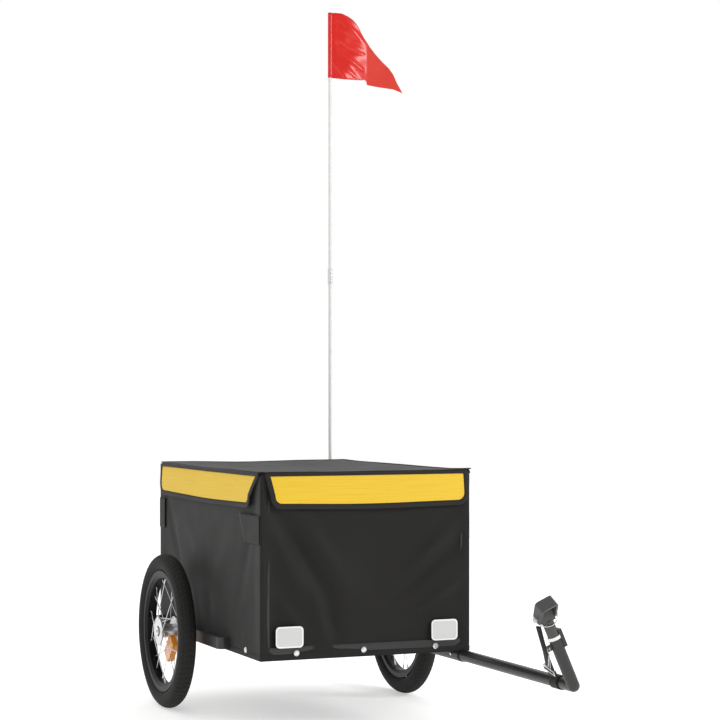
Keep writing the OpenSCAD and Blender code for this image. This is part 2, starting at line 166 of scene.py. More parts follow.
def mottled(tree, shader, base, spread, size_mm):
    """Varies the base colour in soft patches; returns the patches and the coordinates in metres."""
    coords = add_node(tree, "ShaderNodeTexCoord").outputs["Object"]
    cloud = add_node(tree, "ShaderNodeTexNoise", {"Scale": 1 / (size_mm * MM), "Detail": 3.0},
                     {"Vector": coords}).outputs["Fac"]
    dark = [c * (1 - spread) for c in base[:3]] + [1]
    light = [min(1, c * (1 + spread)) for c in base[:3]] + [1]
    mix = add_node(tree, "ShaderNodeMix", {"data_type": "RGBA", "A": dark, "B": light}, {0: cloud})
    tree.links.new(mix.outputs["Result"], shader.inputs["Base Color"])
    return cloud, coords


def finished(tree, shader, height, strength, depth_mm, patches=None, roughness=None):
    """Relief of a real depth, and a roughness that follows patches between two values."""
    bump = add_node(tree, "ShaderNodeBump", {"Strength": strength, "Distance": depth_mm * MM},
                    {"Height": height})
    tree.links.new(bump.outputs["Normal"], shader.inputs["Normal"])
    if patches is not None:
        spread = add_node(tree, "ShaderNodeMapRange", {"To Min": roughness[0], "To Max": roughness[1]},
                          {"Value": patches})
        tree.links.new(spread.outputs["Result"], shader.inputs["Roughness"])


def band_scale(spacing):
    """Scale at which the bands of a wave texture lie the given distance apart."""
    return math.tau / (20 * spacing)


# Every piece of cloth has this map: metres along its warp and its weft, as it was cut
CUT_MAP = "cut"


def woven(tree):
    """Height of a plain weave, and metres along the cloth. Real threads lie 0.4 mm apart; these
    are drawn at the thread spacing, about three times as coarse, so that they show."""
    coords = add_node(tree, "ShaderNodeUVMap", {"uv_map": CUT_MAP}).outputs["UV"]
    look = {"Scale": band_scale(sizes().thread), "Distortion": 1.2, "Detail": 1.0, "Detail Scale": 3.0}
    warp, weft = (add_node(tree, "ShaderNodeTexWave", {"bands_direction": axis, **look},
                           {"Vector": coords}).outputs["Fac"] for axis in ("X", "Y"))
    both = add_node(tree, "ShaderNodeMath", {"operation": "MULTIPLY"}, {0: warp, 1: weft})
    return both.outputs[0], coords


def canvas_black():
    """Coated polyester canvas, plain woven: a dull dark grey with a faint sheen and fine threads."""
    made, tree, shader, base = new_material(
        "coated_canvas_black", colours().canvas, 0.66,
        Sheen_Weight=0.06, Sheen_Roughness=0.4, Specular_IOR_Level=0.22)
    cloud, _ = mottled(tree, shader, base, 0.14, 90)
    weave, _ = woven(tree)
    finished(tree, shader, weave, 0.35, 0.25, cloud, (0.56, 0.74))
    return made


def panel_yellow():
    """Yellow polyester cloth: fine weft lines run along each flap, some threads a little darker."""
    made, tree, shader, base = new_material(
        "woven_polyester_yellow", colours().panel, 0.62,
        Sheen_Weight=0.05, Sheen_Roughness=0.5, Specular_IOR_Level=0.3)
    weave, coords = woven(tree)
    # slubs are 170 mm long and 2.4 mm wide, coarser than real ones so that they show
    stretched = add_node(tree, "ShaderNodeMapping", {"Scale": (6, 420, 1)}, {"Vector": coords})
    slub = add_node(tree, "ShaderNodeTexNoise", {"Scale": 1.0, "Detail": 4.0, "Roughness": 0.6},
                    {"Vector": stretched.outputs["Vector"]}).outputs["Fac"]
    share = add_node(tree, "ShaderNodeMapRange", {"From Min": 0.35, "From Max": 0.7, "To Max": 0.75},
                     {"Value": slub})
    mix = add_node(tree, "ShaderNodeMix",
                   {"data_type": "RGBA", "A": base, "B": linear(colours().panel_slub)},
                   {0: share.outputs["Result"]})
    tree.links.new(mix.outputs["Result"], shader.inputs["Base Color"])
    height = add_node(tree, "ShaderNodeMath", {"operation": "ADD"}, {0: weave, 1: slub})
    finished(tree, shader, height.outputs[0], 0.3, 0.2)
    return made


def binding_tape():
    """Grosgrain binding tape: dark grey with fine ribs, 1.2 mm apart, across its width."""
    made, tree, shader, base = new_material(
        "grosgrain_binding", colours().binding, 0.8,
        Sheen_Weight=0.08, Sheen_Roughness=0.5, Specular_IOR_Level=0.25)
    mottled(tree, shader, base, 0.12, 30)
    coords = add_node(tree, "ShaderNodeUVMap", {"uv_map": CUT_MAP}).outputs["UV"]
    ribs = add_node(tree, "ShaderNodeTexWave", {"bands_direction": "X", "Scale": band_scale(1.2 * MM)},
                    {"Vector": coords})
    finished(tree, shader, ribs.outputs["Fac"], 0.4, 0.25)
    return made


def grained(tree, coords, size_mm):
    """Height of a fine even grain of the given size."""
    return add_node(tree, "ShaderNodeTexNoise", {"Scale": 1 / (size_mm * MM), "Detail": 2.0},
                    {"Vector": coords}).outputs["Fac"]


def powder_coat(name, hex_value, roughness=0.42):
    """Powder-coated steel: satin, with the faint orange peel of the cured powder."""
    made, tree, shader, base = new_material(name, hex_value, roughness, Specular_IOR_Level=0.5,
                                            Coat_Weight=0.15, Coat_Roughness=0.25)
    cloud, coords = mottled(tree, shader, base, 0.1, 25)
    finished(tree, shader, grained(tree, coords, 1.5), 0.12, 0.15,
             cloud, (roughness - 0.07, roughness + 0.08))
    return made


def plated_steel(name, hex_value, roughness=0.24):
    """Zinc-plated or machined bright metal: fine turning marks break up the reflections."""
    made, tree, shader, base = new_material(name, hex_value, roughness, Metallic=1.0)
    cloud, coords = mottled(tree, shader, base, 0.08, 12)
    finished(tree, shader, grained(tree, coords, 0.8), 0.08, 0.05,
             cloud, (roughness - 0.06, roughness + 0.1))
    return made


def moulded(name, hex_value, roughness, grain_mm=0.8, strength=0.15, **sockets):
    """Injection-moulded plastic or rubber with a fine spark-eroded grain."""
    made, tree, shader, base = new_material(name, hex_value, roughness, **sockets)
    _, coords = mottled(tree, shader, base, 0.08, 20)
    finished(tree, shader, grained(tree, coords, grain_mm), strength, 0.2)
    return made


def prism_lens(name, hex_value):
    """Moulded reflector: a clear skin over rows of corner prisms, 2.4 mm apart. Each prism carries a
    painted highlight at its middle and painted shade towards its edges.
    """
    made, tree, shader, base = new_material(name, hex_value, 0.18, Coat_Weight=0.4, Coat_Roughness=0.08)
    coords = add_node(tree, "ShaderNodeTexCoord").outputs["Object"]
    prisms = add_node(tree, "ShaderNodeTexVoronoi", {"Scale": 1 / (2.4 * MM), "Randomness": 0.0},
                      {"Vector": coords}).outputs["Distance"]
    # painted highlight and painted shade: each prism's colour is lighter at its middle and darker
    # towards its edges
    light = [min(1.0, c * 1.25 + 0.02) for c in base[:3]] + [1]
    dark = [c * 0.8 for c in base[:3]] + [1]
    mix = add_node(tree, "ShaderNodeMix", {"data_type": "RGBA", "A": light, "B": dark}, {0: prisms})
    tree.links.new(mix.outputs["Result"], shader.inputs["Base Color"])
    finished(tree, shader, prisms, 0.35, 0.4)
    return made


def rimmed_lens(node):
    """White reflector: a ribbed pale grey lens that stands proud of a bright smooth rim. Its ribs carry
    painted shade and painted highlight in alternate bands.
    """
    made, tree, shader, _ = new_material("white_prism_lens", "#C9C9C8", 0.3,
                                         Coat_Weight=0.3, Coat_Roughness=0.1)
    coords = add_node(tree, "ShaderNodeTexCoord").outputs["Object"]
    parts = add_node(tree, "ShaderNodeSeparateXYZ", links={0: coords})
    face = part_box(node)[0].y + 0.5 * MM
    lens = add_node(tree, "ShaderNodeMath", {"operation": "LESS_THAN", 1: face}, {0: parts.outputs["Y"]})
    ribs = add_node(tree, "ShaderNodeTexWave", {"bands_direction": "X", "Scale": band_scale(2.4 * MM)},
                    {"Vector": coords}).outputs["Fac"]
    # painted shade and painted highlight: the ribs' colour is darker and lighter in alternate bands that
    # follow their relief
    painted_rib_shade = add_node(tree, "ShaderNodeMix",
                    {"data_type": "RGBA", "A": linear("#BDBDBC"), "B": linear("#D0D0CF")}, {0: ribs})
    mix = add_node(tree, "ShaderNodeMix", {"data_type": "RGBA", "A": linear("#E9E9E8")},
                   {0: lens.outputs[0], "B": painted_rib_shade.outputs["Result"]})
    tree.links.new(mix.outputs["Result"], shader.inputs["Base Color"])
    finished(tree, shader, ribs, 0.25, 0.3)
    return made


def rubber_tread():
    """Vulcanised tyre rubber: matt near-black with a fine moulded roughness."""
    return moulded("tyre_rubber", colours().rubber, 0.78, grain_mm=1.2, strength=0.4,
                   Specular_IOR_Level=0.3)


def flag_film():
    """Coated flag film: a glossy skin on the crumpled half near the pole, matt past the crease."""
    made, tree, shader, _ = new_material("coated_flag_film", colours().flag, 0.3,
                                         Specular_IOR_Level=0.45)
    weave, coords = woven(tree)
    parts = add_node(tree, "ShaderNodeSeparateXYZ", links={0: coords})
    past = add_node(tree, "ShaderNodeMapRange",
                    {"From Min": (FLAG_CREASE - 1) * MM, "From Max": (FLAG_CREASE + 5) * MM},
                    {"Value": parts.outputs["X"]}).outputs["Result"]
    cloud = add_node(tree, "ShaderNodeTexNoise", {"Scale": 1 / (40 * MM), "Detail": 2.0},
                     {"Vector": coords}).outputs["Fac"]
    near, tip = (add_node(tree, "ShaderNodeMix",
                          {"data_type": "RGBA", "A": linear(dark), "B": linear(light)},
                          {0: cloud}).outputs["Result"]
                 for dark, light in ((colours().flag_shade, colours().flag),
                                     (colours().flag_tip_shade, colours().flag_tip)))
    mix = add_node(tree, "ShaderNodeMix", {"data_type": "RGBA"}, {0: past, "A": near, "B": tip})
    tree.links.new(mix.outputs["Result"], shader.inputs["Base Color"])
    finished(tree, shader, weave, 0.1, 0.1, past, (0.27, 0.75))
    return made


MATERIALS = {}


def material(name):
    """The finish of that name, made the first time it is asked for."""
    makers = {
        "canvas": canvas_black,
        "panel": panel_yellow,
        "binding": binding_tape,
        "steel": lambda: powder_coat("powder_coat_black", colours().steel),
        "fork": lambda: powder_coat("powder_coat_dark_grey", colours().fork, 0.5),
        "zinc": lambda: plated_steel("zinc_plated_steel", "#D9DADC"),
        "hub": lambda: plated_steel("turned_aluminium", "#D2D3D5", 0.3),
        "bearing": lambda: plated_steel("bearing_shield", "#4A4A4C", 0.4),
        "rim": lambda: moulded("anodised_rim_black", "#0B0B0B", 0.42, strength=0.03,
                               Specular_IOR_Level=0.22),
        "rubber": rubber_tread,
        "tube": lambda: moulded("butyl_rubber", "#1B1B1B", 0.6),
        "plastic": lambda: moulded("moulded_polypropylene_black", "#1E1E1E", 0.5),
        "floor": lambda: moulded("floor_board_plastic", "#262626", 0.6, grain_mm=2.0, strength=0.3),
        "nylon": lambda: moulded("turned_nylon_white", "#E6E6E3", 0.35),
        "pole": lambda: moulded("glass_fibre_grey", colours().pole, 0.3, grain_mm=0.6, strength=0.05),
        "amber": lambda: prism_lens("amber_prism_lens", colours().amber),
        "clear": lambda: rimmed_lens("front_reflectors"),
        "red": lambda: prism_lens("red_prism_lens", "#B0120C"),
        "flag": flag_film,
        "webbing": binding_tape,
    }
    if name not in MATERIALS:
        MATERIALS[name] = makers[name]()
    return MATERIALS[name]


def finish_node(name, finish):
    """Gives a frame node its finish."""
    slots = NODES[name].data.materials
    slots.clear()
    slots.append(material(finish))


# Name, place in metres, side in metres and power in watts of each lamp
LAMPS = [("key", (3.1, -2.7, 2.3), 1.1, 80), ("fill", (-2.6, -3.6, 2.4), 2.2, 22),
         ("rim", (0.5, 3.2, 3.4), 2.2, 4)]
LAMPS_AIM = Vector((0, 0, 0.6))
# The sky is dimmer over the drawbar, where Y is low, and bright behind the trailer
SKY = {"From Min": -0.7, "From Max": 0.35, "To Min": 0.5, "To Max": 1.0}


class StageOperator(bpy.types.Operator):
    """Pale floor, soft studio lights and the camera"""

    bl_idname = "trailer.stage"
    bl_label = "Stage"

    def execute(self, context):
        floor = sheet_of_points("floor", [[Vector((x, y, 0)) for x in (-8, 8)] for y in (-8, 12)])
        floor.data.materials.clear()
        made, _, _, _ = new_material("studio_floor", "#F4F4F3", 0.9, Emission_Strength=0.45,
                                     Emission_Color=(1, 1, 1, 1))
        floor.data.materials.append(made)
        world = bpy.data.worlds.new("studio")
        world.use_nodes = True
        tree = world.node_tree
        way = add_node(tree, "ShaderNodeTexCoord").outputs["Generated"]
        parts = add_node(tree, "ShaderNodeSeparateXYZ", links={0: way})
        level = add_node(tree, "ShaderNodeMapRange", SKY, {"Value": parts.outputs["Y"]})
        tree.nodes["Background"].inputs["Color"].default_value = (1, 1, 1, 1)
        tree.links.new(level.outputs["Result"], tree.nodes["Background"].inputs["Strength"])
        context.scene.world = world
        context.scene.view_settings.view_transform = "Standard"
        for name, place, size, power in LAMPS:
            lamp = bpy.data.lights.new(name, "AREA")
            lamp.size, lamp.energy = size, power
            holder = bpy.data.objects.new(name, lamp)
            holder.location = place
            holder.rotation_euler = (LAMPS_AIM - holder.location).to_track_quat("-Z", "Y").to_euler()
            context.scene.collection.objects.link(holder)
        make_camera(context)
        return {"FINISHED"}


# Metres from the middle of the axle's line, degrees, millimetres, and a share of the frame
CAMERA_FROM_AXLE = Vector((-1.87783, -4.98916, 0.81348))
CAMERA_YAW = 22.7125
CAMERA_LENS = 99.52
CAMERA_SHIFT = 0.04964


def make_camera(context):
    """The camera stands level, ahead and to the right of the trailer, and looks back at it."""
    data = bpy.data.cameras.new("camera")
    data.lens, data.shift_y = CAMERA_LENS, CAMERA_SHIFT
    data.clip_end = 100
    camera = bpy.data.objects.new("camera", data)
    camera.location = Vector((TUB_MID.x, AXLE.y, 0)) + CAMERA_FROM_AXLE
    camera.rotation_euler = (math.radians(90), 0, -math.radians(CAMERA_YAW))
    context.scene.collection.objects.link(camera)
    context.scene.camera = camera


# ---- mesh helpers ----

def link_object(name, mesh):
    """A smooth-shaded object of a mesh, in the scene."""
    mesh.polygons.foreach_set("use_smooth", [True] * len(mesh.polygons))
    made = bpy.data.objects.new(name, mesh)
    bpy.context.scene.collection.objects.link(made)
    return made


def link_mesh(name, verts, faces, cut=None):
    """A mesh object from points and faces, with an optional map of the flat cut, one pair a vertex."""
    mesh = bpy.data.meshes.new(name)
    mesh.from_pydata([tuple(v) for v in verts], [], faces)
    mesh.update()
    if cut is not None:
        layer = mesh.uv_layers.new(name=CUT_MAP)
        for loop in mesh.loops:
            layer.data[loop.index].uv = cut[loop.vertex_index]
    return link_object(name, mesh)


def sheet_of_points(name, rows, cut=None, closed=False):
    """A surface through rows of points; closed joins each row's end to its start."""
    across = len(rows[0])
    verts = [p for row in rows for p in row]
    flat = None if cut is None else [c for row in cut for c in row]
    faces = []
    for r in range(len(rows) - 1):
        for c in range(across if closed else across - 1):
            d = (c + 1) % across
            faces.append((r * across + c, r * across + d, (r + 1) * across + d, (r + 1) * across + c))
    return link_mesh(name, verts, faces, flat)


def thicken(made, thickness, offset=0.0):
    """Gives a surface a real thickness, as part of its mesh."""
    solid = made.modifiers.new("thickness", "SOLIDIFY")
    solid.thickness, solid.offset = thickness, offset
    graph = bpy.context.evaluated_depsgraph_get()
    mesh = bpy.data.meshes.new_from_object(made.evaluated_get(graph))
    made.modifiers.clear()
    made.data = mesh


def give_finish(made, finish):
    """Material and slot of one piece."""
    made.data.materials.clear()
    made.data.materials.append(material(finish))


def place_piece(made, body, finish, slot, *replaced):
    """Material, body and replaced nodes of one piece; the slot is not used."""
    give_finish(made, finish)
    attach(made, body)
    if replaced:
        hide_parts(*replaced)
    return made


def rounded(x):
    """Smooth step from 0 to 1 for x from 0 to 1."""
    x = max(0.0, min(1.0, x))
    return x * x * (3 - 2 * x)


# ---- cloth helpers ----

def crease_field(creases, u, v):
    """Sum of soft ridges and valleys. A crease is (u0, v0, u1, v1, half width, height)."""
    total = 0.0
    for u0, v0, u1, v1, width, height in creases:
        along = Vector((u1 - u0, v1 - v0))
        part = Vector((u - u0, v - v0))
        t = part.dot(along) / along.length_squared
        if -0.35 < t < 1.35:
            away = abs(part.x * along.y - part.y * along.x) / along.length
            fade = rounded(1 - abs(t - 0.5) / 0.85)
            total += height * fade * math.exp(-(away / width) ** 2)
    return total


THREAD_R = 0.55 * MM
# Share of a stitch's length that lies on top of the cloth
STITCH_SHARE = 0.62


def stitch_line(name, points, normals):
    """A row of sewn stitches: one small rounded bead of thread for each stitch along the points."""
    threads = bmesh.new()
    run, gap = sizes().stitch * STITCH_SHARE, sizes().stitch * (1 - STITCH_SHARE)
    travelled = 0.0
    start = None
    for (p, n), (q, _) in zip(zip(points, normals), zip(points[1:], normals[1:])):
        step = (q - p).length
        if start is None and travelled >= gap:
            start, travelled = p, 0.0
        travelled += step
        if start is not None and travelled >= run:
            add_stitch(threads, start, q, n)
            start, travelled = None, 0.0
    mesh = bpy.data.meshes.new(name)
    threads.to_mesh(mesh)
    threads.free()
    return link_object(name, mesh)


def add_stitch(mesh, start, end, normal):
    """One stitch: a six-sided bead, thicker in the middle, half sunk in the cloth."""
    along = (end - start).normalized()
    side = along.cross(normal).normalized()
    rings = []
    for t, r in ((0, 0.3), (0.2, 0.9), (0.8, 0.9), (1, 0.3)):
        centre = start.lerp(end, t) + normal * THREAD_R * (0.5 if 0 < t < 1 else 0)
        rings.append([mesh.verts.new(centre + (side * math.cos(a) + normal * math.sin(a)) * THREAD_R * r)
                      for a in (k * math.tau / 6 for k in range(6))])
    for low, high in zip(rings, rings[1:]):
        for k in range(6):
            mesh.faces.new((low[k], low[(k + 1) % 6], high[(k + 1) % 6], high[k]))
    mesh.faces.new(rings[0][::-1])
    mesh.faces.new(rings[-1])


def sweep(name, path, ups, profile, closed=False):
    """Sweeps a closed profile of (across, out) pairs along a path; ups are the outward directions."""
    verts, faces, cut = [], [], []
    count, across = len(path), len(profile)
    run = 0.0
    for i, point in enumerate(path):
        before = path[i - 1] if i or closed else point
        after = path[(i + 1) % count] if i + 1 < count or closed else point
        if i:
            run += (point - path[i - 1]).length
        along = (after - before).normalized()
        side = along.cross(ups[i]).normalized()
        for a, b in profile:
            verts.append(point + side * a + ups[i] * b)
            cut.append((run, a))
    for i in range(count if closed else count - 1):
        j = (i + 1) % count
        for k in range(across):
            m = (k + 1) % across
            faces.append((i * across + k, i * across + m, j * across + m, j * across + k))
    if not closed:
        faces.append(tuple(range(across))[::-1])
        faces.append(tuple(range((count - 1) * across, count * across)))
    return link_mesh(name, verts, faces, cut)


def band_profile(width, thick):
    """Cross-section of a folded tape: flat faces and rounded edges."""
    w, t = width / 2, thick / 2
    return [(-w, -t * 0.5), (-w * 0.9, -t), (0, -t * 1.05), (w * 0.9, -t), (w, -t * 0.5),
            (w, t * 0.5), (w * 0.9, t), (0, t * 1.15), (-w * 0.9, t), (-w, t * 0.5)]


# ---- fabric box ----

# Creases of each wall: both ends as shares of its width and height, half width as a share of the
# wall, and height as a share of the crease depth
FRONT_CREASES = [
    (0.08, 0.78, 0.33, 0.32, 0.035, -1.0), (0.03, 0.72, 0.22, 0.28, 0.04, 0.55),
    (0.16, 0.8, 0.42, 0.34, 0.05, 0.5), (0.3, 0.34, 0.36, 0.1, 0.03, -0.7),
    (0.25, 0.34, 0.29, 0.1, 0.028, 0.6), (0.05, 0.36, 0.2, 0.14, 0.03, 0.45),
    (0.98, 0.76, 0.68, 0.4, 0.045, 0.55), (0.96, 0.62, 0.62, 0.3, 0.04, -0.75),
    (1.0, 0.44, 0.7, 0.16, 0.04, 0.6), (0.92, 0.33, 0.66, 0.1, 0.03, -0.6),
    (0.5, 0.7, 0.55, 0.3, 0.09, -0.3),
]
REAR_CREASES = [
    (0.1, 0.75, 0.36, 0.35, 0.04, -0.8), (0.9, 0.8, 0.6, 0.36, 0.045, -0.7),
    (0.2, 0.4, 0.4, 0.12, 0.035, 0.5), (0.8, 0.38, 0.62, 0.12, 0.035, 0.5),
]
SIDE_CREASES = [
    (0.06, 0.85, 0.24, 0.3, 0.03, -0.5), (0.94, 0.85, 0.8, 0.3, 0.03, -0.5),
    (0.3, 0.66, 0.5, 0.4, 0.06, 0.4), (0.72, 0.6, 0.55, 0.34, 0.06, 0.4),
    (0.5, 0.32, 0.52, 0.1, 0.04, -0.5), (0.35, 0.3, 0.42, 0.06, 0.025, 0.45),
]
WALL_CREASES = [FRONT_CREASES, SIDE_CREASES, REAR_CREASES, SIDE_CREASES]
# Heights above the lower edge: the rows of points in the folded hem, its top and its stitches
HEM_LEVELS = [0, 3, 7, 11, 12.8, 14.5, 16.2, 18, 22]
HEM_TOP = 14.5 * MM
HEM_SEAM = 12 * MM
WALL_ROWS = 58
WALL_STEP = 8 * MM
CORNER_R = 3.5 * MM
# The cloth may stand this far off its flat wall, so that it clears the flaps
OUTWARD_LIMIT = 1.9 * MM
# Share of the crease depth in the side walls, which are pulled tighter than the ends
SIDE_SHARE = 0.45
# Shares of a wall at its ends, its foot and its top over which the cloth comes back to the frame
END_MARGIN, FOOT_MARGIN, TOP_MARGIN = 0.07, 0.09, 0.12
HEM_STEP = 0.5 * MM


def tub_outline(step):
    """Points round the box from the front right corner: (place, wall, share along it, outward)."""
    r = CORNER_R
    low, high = TUB_LOW, TUB_HIGH
    corners = [Vector((x, y)) for x, y in ((low.x, low.y), (high.x, low.y),
                                           (high.x, high.y), (low.x, high.y))]
    out = []
    for wall in range(4):
        a, b = corners[wall], corners[(wall + 1) % 4]
        along = (b - a).normalized()
        outward = Vector((along.y, -along.x))
        span = (b - a).length
        count = round(span / step)
        for k in range(count + 1):
            t = k / count
            spot = a + along * (r + (span - 2 * r) * t)
            out.append((spot, wall, t, outward))
        pivot = b - along * r - outward * r
        for k in (1, 2, 3):
            turn = math.radians(22.5 * k)
            way = outward * math.cos(turn) + along * math.sin(turn)
            out.append((pivot + way * r, wall, 1.0, way))
    return out


def wall_push(wall, u, v):
    """How far the cloth stands off its flat wall, in metres; it stays on the frame round the edges."""
    pinned = (rounded(min(u, 1 - u) / END_MARGIN) * rounded(v / FOOT_MARGIN)
              * rounded((1 - v) / TOP_MARGIN))
    soft = noise.noise(Vector((u * 3.1 + wall * 7, v * 2.3, 1.7))) * 0.5
    share = SIDE_SHARE if wall in (1, 3) else 1.0
    push = (crease_field(WALL_CREASES[wall], u, v) + soft - 0.5) * sizes().crease * pinned * share
    return min(push, OUTWARD_LIMIT)


def tub_point(spot, outward, wall, u, z):
    """A point of the box's outer face, with the hem's doubled cloth and its seam."""
    v = (z - TUB_LOW.z) / (TUB_HIGH.z - TUB_LOW.z)
    off = wall_push(wall, u, v)
    hem = HEM_STEP * rounded((HEM_TOP - (z - TUB_LOW.z)) / (2 * MM))
    seam = -HEM_STEP * math.exp(-((z - TUB_LOW.z - HEM_TOP) / (1.6 * MM)) ** 2)
    flat = spot + outward * (off + hem + seam)
    return Vector((flat.x, flat.y, z))


# Width and height of a front tab; run along the side, along the back and height of a rear one
FRONT_TAB, FRONT_TAB_Z = (146 * MM, 69 * MM), 459 * MM
REAR_TAB, REAR_TAB_Z = (46 * MM, 82 * MM, 80 * MM), 455 * MM


class BoxOperator(bpy.types.Operator):
    """Fabric box with its creases, hem, stitching and corner tabs"""

    bl_idname = "trailer.box"
    bl_label = "Fabric box"

    def execute(self, context):
        low, high = TUB_LOW.z, TUB_HIGH.z
        levels = [low + d * MM for d in HEM_LEVELS]
        above = levels[-1]
        levels += [above + (high - above) * k / WALL_ROWS for k in range(1, WALL_ROWS + 1)]
        outline = tub_outline(WALL_STEP)
        rows, cuts = [], []
        for z in levels:
            run = 0.0
            row, cut = [], []
            for i, (spot, wall, t, outward) in enumerate(outline):
                if i:
                    run += (spot - outline[i - 1][0]).length
                row.append(tub_point(spot, outward, wall, t, z))
                cut.append((run, z))
            rows.append(row)
            cuts.append(cut)
        tub = sheet_of_points("fabric_box", rows, cuts, closed=True)
        thicken(tub, sizes().cloth, -1.0)
        place_piece(tub, "chassis", "canvas", "black_cloth", "tub_fabric")
        stitches = self.hem_stitches(outline, low)
        for sx in (-1, 1):
            self.front_tab(sx)
            self.rear_tab(sx)
        return {"FINISHED"}

    def hem_stitches(self, outline, low):
        """The row of stitches that holds the folded lower edge."""
        fine = []
        for (a, wall, t, n), (b, _, u, m) in zip(outline, outline[1:]):
            for k in range(8):
                share = k / 8
                where = t + (u - t) * share if u > t else t
                fine.append((a.lerp(b, share), wall, where, n.lerp(m, share).normalized()))
        points = [tub_point(spot, n, wall, t, low + HEM_SEAM) for spot, wall, t, n in fine]
        normals = [Vector((n.x, n.y, 0)) for _, _, _, n in fine]
        made = stitch_line("box_hem_stitches", points, normals)
        return place_piece(made, "chassis", "binding", "black_cloth")

    def tab(self, name, corners_at, bulge):
        """A sewn patch over a surface given as a function of two shares."""
        count = 14
        rows, cut = [], []
        for r in range(count + 1):
            v = r / count
            row, cuts = [], []
            for c in range(2 * count + 1):
                u = c / (2 * count)
                spot, normal, flat = corners_at(u, v)
                edge = rounded(min(u, 1 - u, v, 1 - v) / 0.08)
                row.append(spot + normal * (0.9 * MM + bulge * edge))
                cuts.append(flat)
            rows.append(row)
            cut.append(cuts)
        made = sheet_of_points(name, rows, cut)
        thicken(made, 0.8 * MM, -1.0)
        return place_piece(made, "chassis", "canvas", "tab_cloth", "corner_tabs")

    def front_tab(self, sx):
        """Patch on a side wall at its front corner; sx is 1 on the left and -1 on the right."""
        x = TUB_HIGH.x if sx > 0 else TUB_LOW.x
        (wide, tall), z0, y0 = FRONT_TAB, FRONT_TAB_Z, TUB_LOW.y + 4 * MM

        def at(u, v):
            y = y0 + wide * u
            z = z0 + tall * v
            y -= wide * 0.24 * (1 - v) * u
            return Vector((x, y, z)), Vector((sx, 0, 0)), (wide * u, tall * v)

        side = "left" if sx > 0 else "right"
        made = self.tab(f"{side}_front_tab", at, 0.4 * MM)

    def rear_tab(self, sx):
        """Strap that runs round a rear corner from the side wall to the rear wall."""
        x, y, z0 = (TUB_HIGH.x if sx > 0 else TUB_LOW.x), TUB_HIGH.y, REAR_TAB_Z
        (side_run, back_run, tall), r = REAR_TAB, CORNER_R
        arc = r * math.pi / 2
        total = side_run + arc + back_run

        def at(u, v):
            d = u * total
            z = z0 + tall * v
            if d < side_run:
                return Vector((x, y - r - side_run + d, z)), Vector((sx, 0, 0)), (d, tall * v)
            if d < side_run + arc:
                turn = (d - side_run) / r
                way = Vector((sx * math.cos(turn), math.sin(turn), 0))
                return Vector((x - sx * r, y - r, z)) + way * r, way, (d, tall * v)
            e = d - side_run - arc
            return Vector((x - sx * (r + e), y, z)), Vector((0, 1, 0)), (d, tall * v)

        side = "left" if sx > 0 else "right"
        made = self.tab(f"{side}_rear_tab", at, 0.3 * MM)


# ---- cover and flaps ----

COVER_GRID = (56, 80)
# How far the edges are pulled in between the corners, and how much narrower the rear is on each side
EDGE_PULL = 2.5 * MM
REAR_NARROWING = 6 * MM
# The rim's tape: its middle line's distance from the edge, its width and its thickness
RIM_INSET = 4 * MM
RIM_TAPE = (9 * MM, 3 * MM)
# Shares of the cover's width and length over which the sag begins, and over which a corner lifts
SAG_MARGINS = (0.35, 0.3)
CORNER_SHARE = 0.14
# Lift of the front left corner, which sticks up, and of the other three
EAR_LIFT = 4 * MM
CORNER_LIFT = 1.2 * MM
# Heights of the broad waves in the middle and of the smaller ones along the edges
COVER_WAVE = 1.4 * MM
EDGE_WAVE = 1.1 * MM


def cover_height(x, y):
    """Height of the cover's upper face: it sags between the rails and its corners lift."""
    u = (x - COVER_LOW.x) / (COVER_HIGH.x - COVER_LOW.x)
    v = (y - COVER_LOW.y) / (COVER_HIGH.y - COVER_LOW.y)
    middle = rounded(min(u, 1 - u) / SAG_MARGINS[0]) * rounded(min(v, 1 - v) / SAG_MARGINS[1])
    corner = (max(0.0, 1 - min(u, 1 - u) / CORNER_SHARE)
              * max(0.0, 1 - min(v, 1 - v) / CORNER_SHARE))
    wave = noise.noise(Vector((u * 3.4, v * 4.1, 5.2))) * COVER_WAVE
    edge = EDGE_WAVE * math.sin(u * 9.5 + 0.6) * math.sin(v * 8.3 + 0.4)
    lift = corner ** 1.3 * (EAR_LIFT if u > 0.5 and v < 0.5 else CORNER_LIFT)
    return COVER_HIGH.z + 0.2 * MM + wave + edge * (1 - middle) - sizes().sag * middle + lift


class CoverOperator(bpy.types.Operator):
    """Sagging cover with pointed corners, and the tape sewn round its rim"""

    bl_idname = "trailer.cover"
    bl_label = "Cover"

    def execute(self, context):
        low, high = COVER_LOW, COVER_HIGH
        nx, ny = COVER_GRID
        rows, cuts = [], []
        for r in range(ny + 1):
            row, cut = [], []
            for c in range(nx + 1):
                u, v = c / nx, r / ny
                x, y = low.x + (high.x - low.x) * u, low.y + (high.y - low.y) * v
                cut.append((x, y))
                x -= (u - 0.5) * 2 * (EDGE_PULL * (1 - (2 * v - 1) ** 6) + REAR_NARROWING * v * v)
                y -= (v - 0.5) * 2 * EDGE_PULL * (1 - (2 * u - 1) ** 6) if v < 0.5 else 0
                row.append(Vector((x, y, cover_height(x, y))))
            rows.append(row)
            cuts.append(cut)
        cover = sheet_of_points("cover_sheet", rows, cuts)
        thicken(cover, sizes().cloth, -1.0)
        place_piece(cover, "cover", "canvas", "black_cloth", "cover_panel")
        ring = rows[0] + [row[-1] for row in rows[1:]]
        ring += rows[-1][-2::-1] + [row[0] for row in rows[-2:0:-1]]
        inner = [p + (Vector((TUB_MID.x, TUB_MID.y, p.z)) - p).normalized() * RIM_INSET for p in ring]
        rim = sweep("cover_rim", inner, [Vector((0, 0, 1))] * len(inner), band_profile(*RIM_TAPE),
                    closed=True)
        place_piece(rim, "cover", "binding", "black_cloth")
        return {"FINISHED"}


